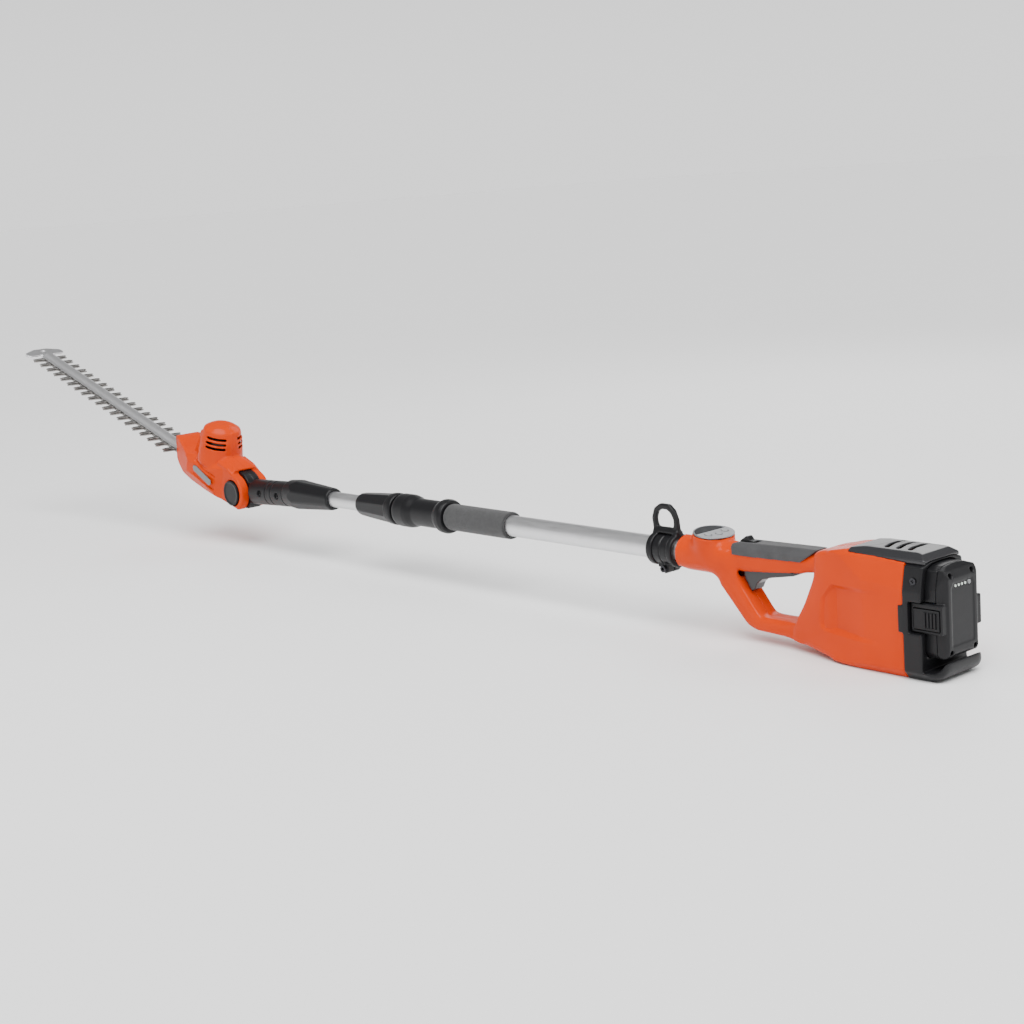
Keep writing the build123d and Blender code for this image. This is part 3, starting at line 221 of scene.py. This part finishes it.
def metal(name, colour, rough, along, depth, dull=0.8):
    """Worked metal with fine lines along one axis, given as a stretch of the noise."""
    look = Look(name)
    lines = look.noise(0.0006, 3.0, along)
    stains = look.noise(0.02, 4.0)
    shade = look.mixed(look.spread(stains, 0.4, 0.7, 0.0, 0.5), colour, darkened(colour, dull))
    look.set(Base_Color=shade, Metallic=1.0,
             Roughness=look.spread(lines, 0.3, 0.7, rough * 0.8, rough * 1.25),
             Normal=look.relief(lines, depth))
    return look.material


def orange_shell():
    return plastic("orange_shell", tint(0.56, 0.038, 0.0002), tint(0.62, 0.09, 0.02), 0.22, 0.0011, 0.00001,
                   gloss=0.12, wear=0.0, shine=0.04)


def black_plastic():
    return plastic("black_plastic", tint(0.007, 0.007, 0.008), tint(0.04, 0.04, 0.04), 0.36, 0.0005, 0.00004,
                   wear=0.5, shine=0.24)


def dark_cover():
    return plastic("dark_cover", tint(0.020, 0.020, 0.022), tint(0.08, 0.08, 0.08), 0.30, 0.0005, 0.00003,
                   gloss=0.35, wear=0.5)


def soft_grip():
    look = Look("soft_grip")
    pimples = look.cells(0.0014)
    look.set(Base_Color=look.mixed(look.spread(look.noise(0.02), 0.35, 0.65, 0.0, 1.0),
                                   tint(0.026, 0.026, 0.028), tint(0.036, 0.036, 0.038)),
             Roughness=look.spread(look.noise(0.005), 0.3, 0.7, 0.62, 0.78),
             Normal=look.relief(pimples, 0.00012, 0.7))
    look.set(Sheen_Weight=0.15, Sheen_Roughness=0.5)
    return look.material


def foam():
    look = Look("foam")
    pores = look.relief(look.cells(0.0009), 0.0003, 0.8)
    look.set(Base_Color=look.mixed(look.spread(look.noise(0.003), 0.35, 0.65, 0.0, 1.0),
                                   tint(0.010, 0.010, 0.011), tint(0.018, 0.018, 0.019)),
             Roughness=look.spread(look.noise(0.01), 0.3, 0.7, 0.82, 0.95),
             Normal=look.relief(look.noise(0.004, 5.0), 0.0003, 0.6, pores))
    look.set(Sheen_Weight=0.2, Sheen_Roughness=0.6)
    return look.material


def silver_trim():
    return metal("silver_trim", tint(0.24, 0.245, 0.255), 0.38, (1, 1, 1), 0.000008)


def key_grey():
    return plastic("key_grey", tint(0.22, 0.225, 0.23), tint(0.35, 0.35, 0.35), 0.45, 0.0004, 0.00002)


def smoked_window():
    return plastic("smoked_window", tint(0.012, 0.013, 0.015), tint(0.05, 0.05, 0.05), 0.5, 0.002, 0.000004,
                   wear=0.1, shine=0.08)


def board_green():
    look = Look("board_green")
    tracks = look.spread(look.cells(0.004, "DISTANCE_TO_EDGE"), 0.02, 0.06, 1.0, 0.0)
    look.set(Base_Color=look.mixed(tracks, tint(0.01, 0.09, 0.03), tint(0.05, 0.22, 0.06)),
             Roughness=look.spread(look.noise(0.01), 0.3, 0.7, 0.3, 0.45),
             Normal=look.relief(tracks, 0.00004))
    return look.material


def copper():
    return metal("copper", tint(0.78, 0.33, 0.16), 0.35, (1, 30, 1), 0.0001)


def cell_wrap():
    return plastic("cell_wrap", tint(0.05, 0.12, 0.35), tint(0.2, 0.3, 0.5), 0.3, 0.003, 0.00002)


def lamp_green():
    return plastic("lamp_green", tint(0.62, 0.68, 0.62), tint(0.8, 0.85, 0.8), 0.25, 0.001, 0.00001, 0.4)


def tube_aluminium():
    return metal("tube_aluminium", tint(0.74, 0.74, 0.75), 0.38, (0.02, 1, 1), 0.000012, 0.93)


def blade_steel():
    return metal("blade_steel", tint(0.30, 0.29, 0.28), 0.34, (1, 0.06, 1), 0.00002, 0.6)


def screw_steel():
    return metal("screw_steel", tint(0.05, 0.05, 0.055), 0.42, (1, 1, 1), 0.00001)


# painted shade: near black, far darker than bare steel, so the motor seen through the head's vent slots shows
# as the shade inside them
def machine_steel():
    return metal("machine_steel", tint(0.035, 0.034, 0.033), 0.45, (1, 0.1, 1), 0.00001)


def cast_alloy():
    return metal("cast_alloy", tint(0.55, 0.55, 0.56), 0.55, (1, 1, 1), 0.0001, 0.75)


MAKERS = [orange_shell, black_plastic, dark_cover, soft_grip, foam, silver_trim, key_grey, smoked_window,
          board_green, copper, cell_wrap, lamp_green, tube_aluminium, blade_steel, screw_steel, machine_steel,
          cast_alloy]
MATERIALS = {maker.__name__: maker() for maker in MAKERS}
SLOT_OF = {name: node.data.materials[0].name for name, node in NODES.items()}


# ---------------------------------------------------------------- shaping meshes
def points_of(mesh):
    flat = np.empty(len(mesh.vertices) * 3)
    mesh.vertices.foreach_get("co", flat)
    return flat.reshape(-1, 3)


def put_points(mesh, points):
    mesh.vertices.foreach_set("co", points.ravel())
    mesh.update()


def smooth_step(value):
    share = np.clip(value, 0.0, 1.0)
    return share * share * (3 - 2 * share)


def above(value, level, fade):
    """0 up to a level and 1 from fade past it."""
    return smooth_step((value - level) / fade)


def below(value, level, fade):
    """0 from a level up and 1 from fade under it."""
    return smooth_step((level - value) / fade)


def relaxed(mesh, rounding, cell, softness):
    """Rounds a closed mesh's edges off to about the radius given.

    softness(points) gives each point's share of the motion along each axis, 0 where nothing moves.
    """
    points = points_of(mesh)
    pairs = np.empty(len(mesh.edges) * 2, int)
    mesh.edges.foreach_get("vertices", pairs)
    first, second = pairs.reshape(-1, 2).T
    count = len(points)
    neighbours = np.bincount(first, minlength=count) + np.bincount(second, minlength=count)
    share = 0.5 * softness(points)
    for _ in range(max(1, round(4 * (rounding / cell) ** 2))):
        for axis in range(3):
            line = points[:, axis]
            total = np.bincount(first, line[second], count) + np.bincount(second, line[first], count)
            points[:, axis] = line + share[:, axis] * (total / neighbours - line)
    put_points(mesh, points)


def soft_all_over(points):
    return np.ones_like(points)


SEAM_FADE = 4 * MM
SEAM_SHARE = 0.06
SEAM_FACE = 0.6 * MM


def soft_but_seam(points):
    """Soft everywhere but at the middle plane, where two half shells meet."""
    share = np.clip(np.abs(points[:, 1]) / SEAM_FADE, SEAM_SHARE, 1.0)
    softness = np.repeat(share[:, None], 3, axis=1)
    softness[np.abs(points[:, 1]) < SEAM_FACE, 1] = 0.0
    return softness


def near(points, centre, reach, fade):
    """1 within reach of a place and 0 beyond reach and fade, measured along each axis as given."""
    apart = np.linalg.norm((points - np.array(centre)) / np.array(reach), axis=1)
    return 1 - smooth_step((apart - 1) / fade)


MELTED_MIDDLE = (0.345, 0, 0.098)
MELTED_REACH = (0.048, 0.06, 0.027)
POD_RIM_REACH = (0.033, 0.036, 0.0115)
COLLAR_END = (0.392, 0, 0.098)
COLLAR_END_REACH = (0.007, 0.03, 0.03)


def soft_round_pod(points):
    """Softness for the second pass that melts the collar, the pod and the guard strut into each other."""
    share = near(points, MELTED_MIDDLE, MELTED_REACH, 0.35)
    share *= 1 - near(points, (POD_MIDDLE.x, 0, POD_MIDDLE.z), POD_RIM_REACH, 0.3)
    share *= 1 - near(points, COLLAR_END, COLLAR_END_REACH, 0.4)
    return soft_but_seam(points) * share[:, None]


def finished(piece, body, *nodes):
    """Gives a piece its finish and hands it over to its CAD body."""
    slot = SLOT_OF[nodes[0]]
    piece.data.materials.clear()
    piece.data.materials.append(MATERIALS[slot])
    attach(piece, body)
    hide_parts(*nodes)
    return piece


def slimmed(mesh, amount):
    """Draws a closed mesh in along its normals, which gives a sliding part a little room in its bore."""
    normals = np.empty(len(mesh.vertices) * 3)
    mesh.vertex_normals.foreach_get("vector", normals)
    put_points(mesh, points_of(mesh) - amount * normals.reshape(-1, 3))


def casting(node, cell, rounding, softness=soft_all_over, shape=None, extra=(), room=0.0):
    """A CAD part cast again with its edges rounded, in small even cells, as moulded parts have them."""
    source = NODES[node]
    piece = bpy.data.objects.new(node + "_moulding", source.data.copy())
    bpy.context.scene.collection.objects.link(piece)
    cells = piece.modifiers.new("cells", "REMESH")
    cells.mode = "VOXEL"
    cells.voxel_size = cell
    shown = piece.evaluated_get(bpy.context.evaluated_depsgraph_get())
    mesh = bpy.data.meshes.new_from_object(shown)
    piece.modifiers.clear()
    piece.data = mesh
    relaxed(mesh, rounding, cell, softness)
    for more_rounding, where in extra:
        relaxed(mesh, more_rounding, cell, where)
    if shape is not None:
        put_points(mesh, shape(points_of(mesh)))
    slimmed(mesh, room)
    mesh.polygons.foreach_set("use_smooth", np.ones(len(mesh.polygons), bool))
    return finished(piece, source["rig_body"], node)


WELD_GAP = 0.005 * MM
FLAT_ANGLE = math.radians(0.5)
SHARP_ANGLE = math.radians(35)


def eased(node, width):
    """Breaks the sharp edges of a CAD part that is shown as it is."""
    part = NODES[node]
    weld = part.modifiers.new("weld", "WELD")
    weld.merge_threshold = WELD_GAP
    flats = part.modifiers.new("flats", "DECIMATE")
    flats.decimate_type = "DISSOLVE"
    flats.angle_limit = FLAT_ANGLE
    edge = part.modifiers.new("edge", "BEVEL")
    edge.width = width
    edge.segments = 2
    edge.limit_method = "ANGLE"
    edge.angle_limit = SHARP_ANGLE
    edge.use_clamp_overlap = False
    edge.harden_normals = False


# ---------------------------------------------------------------- the frame's own parts
for name, node in NODES.items():
    node.data.materials.clear()
    node.data.materials.append(MATERIALS[SLOT_OF[name]])

# ---------------------------------------------------------------- rear unit
# the hollow in each side: how deep it gets, how wide its bank is, where it starts to sink, over what length,
# and the points of its outline as (x, z)
PANEL_DEPTH = 6.5 * MM
PANEL_SLOPE = 5.5 * MM
PANEL_REAR_X = 40 * MM
PANEL_RAMP = 100 * MM
SIDE_WALL_Y = 30 * MM
SIDE_FADE = 4 * MM
PANEL = [(0.086, 0.096), (0.128, 0.095), (0.146, 0.075), (0.152, 0.041), (0.143, 0.037), (0.086, 0.034)]


def inside_distance(x, z, corners):
    """How far each point is inside a convex outline given clockwise as (x, z), below 0 outside."""
    nearest = np.full(len(x), 1.0)
    for (ax, az), (bx, bz) in zip(corners, corners[1:]):
        length = math.hypot(bx - ax, bz - az)
        nearest = np.minimum(nearest, ((bx - ax) * (az - z) + (bz - az) * (x - ax)) / length)
    return nearest


def with_side_panel(points):
    """Presses the hollow into each side of the body: deep at its front, level at the rear."""
    inside = inside_distance(points[:, 0], points[:, 2], PANEL)
    depth = PANEL_DEPTH * np.clip(inside / PANEL_SLOPE, 0, 1) * above(points[:, 0], PANEL_REAR_X, PANEL_RAMP)
    side = above(np.abs(points[:, 1]), SIDE_WALL_Y, SIDE_FADE)
    points[:, 1] -= np.sign(points[:, 1]) * depth * side
    return points


GUARD_REAR_X = 200 * MM
GUARD_TOP_Z = 84 * MM
SHOULDER_REAR_X = 128 * MM
SHOULDER_FRONT_X = 190 * MM
SHOULDER_FADE = 12 * MM
LIP_FRONT_X = -8 * MM
LIP_TOP_Z = 30 * MM


def soft_guard(points):
    """Softness for the second pass that rounds the beam and the slanted strut of the hand guard."""
    share = above(points[:, 0], GUARD_REAR_X, 20 * MM) * below(points[:, 2], GUARD_TOP_Z, 6 * MM)
    return soft_but_seam(points) * share[:, None]


def soft_shoulder(points):
    """Softness for the second pass that rounds the front of the body, where it narrows into the handle."""
    share = above(points[:, 0], SHOULDER_REAR_X, SHOULDER_FADE)
    share *= below(points[:, 0], SHOULDER_FRONT_X, SHOULDER_FADE)
    return soft_but_seam(points) * share[:, None]


def soft_lip(points):
    """Softness for the second pass that rounds the skid lip's corners in plan."""
    share = below(points[:, 0], LIP_FRONT_X, 8 * MM) * below(points[:, 2], LIP_TOP_Z, 4 * MM)
    return np.repeat(share[:, None], 3, axis=1)


LATCH_LOW, LATCH_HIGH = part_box("battery_latch_left")
LATCH_MIDDLE_Z = (LATCH_LOW.z + LATCH_HIGH.z) / 2
RIB_RISE = 1.1 * MM
RIB_REAR_X = LATCH_LOW.x + 2 * MM
RIB_FRONT_X = LATCH_HIGH.x - 14 * MM
RIB_HALF_Z = 9.5 * MM
RIB_FACE_Y = LATCH_HIGH.y - 0.8 * MM


def with_tall_ribs(points):
    """Raises the ribs on the rear half of a battery latch, which its shallow grooves mark off."""
    rise = above(np.abs(points[:, 1]), RIB_FACE_Y, 0.4 * MM)
    rise *= above(points[:, 0], RIB_REAR_X, MM) * below(points[:, 0], RIB_FRONT_X, MM)
    rise *= below(np.abs(points[:, 2] - LATCH_MIDDLE_Z), RIB_HALF_Z, MM)
    points[:, 1] += np.sign(points[:, 1]) * RIB_RISE * rise
    return points


for side in ("left", "right"):
    casting("rear_housing_" + side, 1.0 * MM, 2.2 * MM, soft_but_seam, with_side_panel,
            [(6 * MM, soft_shoulder), (6 * MM, soft_guard), (8 * MM, soft_round_pod)])
casting("top_cover", 0.7 * MM, 1.2 * MM)
casting("battery_frame", 0.8 * MM, 1.3 * MM, extra=[(5 * MM, soft_lip)])
casting("battery_case", 0.8 * MM, 1.2 * MM)
casting("battery_end_cap", 0.7 * MM, 1.0 * MM)
for side in ("left", "right"):
    casting("battery_latch_" + side, 0.35 * MM, 0.4 * MM, shape=with_tall_ribs, room=0.32 * MM)
casting("grip_insert", 0.7 * MM, 1.3 * MM)
casting("pod_bezel", 0.45 * MM, 0.6 * MM)
casting("display_window", 0.4 * MM, 0.6 * MM)
casting("trigger", 0.5 * MM, 1.2 * MM)
casting("lockout_lever", 0.4 * MM, 0.8 * MM)
for key in ("power_key", "mode_key", "reverse_key", "charge_button"):
    casting(key, 0.25 * MM, 0.4 * MM)

# ---------------------------------------------------------------- pole
BAND_LOW, BAND_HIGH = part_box("harness_band")
BAND_MIDDLE_X = (BAND_LOW.x + BAND_HIGH.x) / 2
BAND_GROOVE_DEPTH = 1.1 * MM
BAND_GROOVE_HALF = 1.0 * MM
BAND_BORE_R = 18.5 * MM


def with_band_seam(points):
    """Presses a groove round the middle of the clamp's band."""
    share = np.exp(-((points[:, 0] - BAND_MIDDLE_X) / BAND_GROOVE_HALF) ** 2)
    across = points[:, 1:] - np.array([0.0, TUBE_AXIS_Z])
    radius = np.linalg.norm(across, axis=1)
    share *= above(radius, BAND_BORE_R, MM)
    points[:, 1:] -= across * (share * BAND_GROOVE_DEPTH / radius)[:, None]
    return points


casting("harness_clamp", 0.6 * MM, 2.0 * MM)
casting("harness_band", 0.5 * MM, 0.8 * MM, shape=with_band_seam)
casting("foam_sleeve", 0.9 * MM, 1.6 * MM)
casting("coupling_body", 0.7 * MM, 1.0 * MM)
casting("lock_collar", 0.6 * MM, 0.8 * MM)
casting("neck_sleeve", 0.6 * MM, 0.8 * MM)
casting("neck_left", 0.7 * MM, 0.7 * MM, soft_but_seam)
casting("neck_right", 0.7 * MM, 0.7 * MM, soft_but_seam)

# ---------------------------------------------------------------- head
# the badge's middle and slope in the head's own axes, measured from the pivot, and the lines beside it
BADGE_ALONG = 78 * MM
BADGE_HEIGHT = 3.5 * MM
BADGE_SLOPE = 8 / 47
BADGE_SIDE_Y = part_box("head_badge")[1].y - 10 * MM
BADGE_LINE_OFFSET = 11.8 * MM
BADGE_LINE_REACH = 31 * MM
BADGE_LINE_DEPTH = 2.4 * MM
BADGE_LINE_HALF = 1.7 * MM


def with_badge_lines(points):
    """Presses the two thin lines above and below the badge into each side of the head."""
    ahead = points[:, 0] - PIVOT.x
    upward = points[:, 2] - PIVOT.z
    along = ahead * math.cos(HEAD_PITCH) + upward * math.sin(HEAD_PITCH)
    height = upward * math.cos(HEAD_PITCH) - ahead * math.sin(HEAD_PITCH)
    middle = BADGE_HEIGHT + BADGE_SLOPE * (along - BADGE_ALONG)
    off_line = np.abs(np.abs(height - middle) - BADGE_LINE_OFFSET)
    depth = BADGE_LINE_DEPTH * np.exp(-(off_line / BADGE_LINE_HALF) ** 2)
    depth *= below(np.abs(along - BADGE_ALONG), BADGE_LINE_REACH, 4 * MM)
    depth *= above(np.abs(points[:, 1]), BADGE_SIDE_Y, 2 * MM)
    points[:, 1] -= np.sign(points[:, 1]) * depth
    return points


for side in ("left", "right"):
    casting("head_shell_" + side, 0.75 * MM, 1.8 * MM, soft_but_seam, with_badge_lines)
casting("pivot_cap", 0.5 * MM, 0.9 * MM)
casting("pivot_lock_button", 0.5 * MM, 0.9 * MM, room=0.4 * MM)
casting("head_badge", 0.35 * MM, 0.5 * MM)
casting("tip_guard", 0.5 * MM, 0.9 * MM)
casting("blade_guide_bar", 0.7 * MM, 0.7 * MM)
for node in ("upper_blade", "lower_blade"):
    eased(node, 0.35 * MM)


# ---------------------------------------------------------------- floor, light and camera
def floor():
    shape = bmesh.new()
    bmesh.ops.create_grid(shape, x_segments=8, y_segments=8, size=FLOOR_HALF)
    mesh = bpy.data.meshes.new("floor")
    shape.to_mesh(mesh)
    shape.free()
    piece = bpy.data.objects.new("floor", mesh)
    bpy.context.scene.collection.objects.link(piece)
    look = Look("pale_floor")
    shade = look.mixed(look.noise(0.4), tint(0.86, 0.86, 0.86), tint(0.88, 0.88, 0.88))
    look.set(Base_Color=shade, Roughness=0.6)
    mesh.materials.append(look.material)


def lamp(name, place, target, size, power):
    light = bpy.data.lights.new(name, "AREA")
    light.shape = "DISK"
    light.size = size
    light.energy = power
    holder = bpy.data.objects.new(name, light)
    bpy.context.scene.collection.objects.link(holder)
    holder.location = place
    holder.rotation_euler = (Vector(target) - Vector(place)).to_track_quat("-Z", "Y").to_euler()


def studio():
    """A white room whose walls are brightest near the floor, one broad soft sun and four lamps."""
    world = bpy.data.worlds.new("studio")
    bpy.context.scene.world = world
    world.use_nodes = True
    tree = world.node_tree
    place = tree.nodes.new("ShaderNodeTexCoord")
    split = tree.nodes.new("ShaderNodeSeparateXYZ")
    tree.links.new(place.outputs["Generated"], split.inputs[0])
    height = tree.nodes.new("ShaderNodeMapRange")
    height.interpolation_type = "SMOOTHSTEP"
    tree.links.new(split.outputs["Z"], height.inputs["Value"])
    limits = {"From Min": WALL_FADE_FROM, "From Max": WALL_FADE_TO,
              "To Min": WALL_LIGHT, "To Max": ROOM_LIGHT}
    for socket, number in limits.items():
        height.inputs[socket].default_value = number
    sky = tree.nodes["Background"]
    sky.inputs["Color"].default_value = tint(1.0, 1.0, 1.0)
    tree.links.new(height.outputs[0], sky.inputs["Strength"])
    sun = bpy.data.lights.new("overhead", "SUN")
    sun.energy = SUN_LIGHT
    sun.angle = SUN_SPREAD
    holder = bpy.data.objects.new("overhead", sun)
    bpy.context.scene.collection.objects.link(holder)
    holder.rotation_euler = SUN_TURN
    middle = (cad_low + cad_high) / 2
    rear = Vector((0.1, 0.0, 0.1))
    head = Vector((1.5, 0.0, 0.15))
    lamp("key", rear + Vector((-0.9, 1.5, 1.5)), rear, 0.9, 14)
    lamp("edge", rear + Vector((-1.3, -0.9, 1.1)), rear, 0.7, 10)
    lamp("head_light", head + Vector((-0.7, 1.2, 1.3)), head, 0.7, 10)
    lamp("back", middle + Vector((0.6, -2.2, 1.6)), middle, 1.6, 18)


def camera():
    yaw, pitch, roll = (math.radians(a) for a in (CAMERA_YAW, CAMERA_PITCH, CAMERA_ROLL))
    ahead = Vector((math.cos(yaw) * math.cos(pitch), -math.sin(yaw) * math.cos(pitch), -math.sin(pitch)))
    level_right = Vector((-math.sin(yaw), -math.cos(yaw), 0))
    level_down = ahead.cross(level_right)
    right = math.cos(roll) * level_right + math.sin(roll) * level_down
    up = math.sin(roll) * level_right - math.cos(roll) * level_down
    lens = bpy.data.cameras.new("camera")
    lens.lens = CAMERA_LENS
    holder = bpy.data.objects.new("camera", lens)
    bpy.context.scene.collection.objects.link(holder)
    holder.matrix_world = Matrix.Translation(CAMERA_PLACE) @ Matrix((right, up, -ahead)).transposed().to_4x4()
    bpy.context.scene.camera = holder


floor()
studio()
camera()
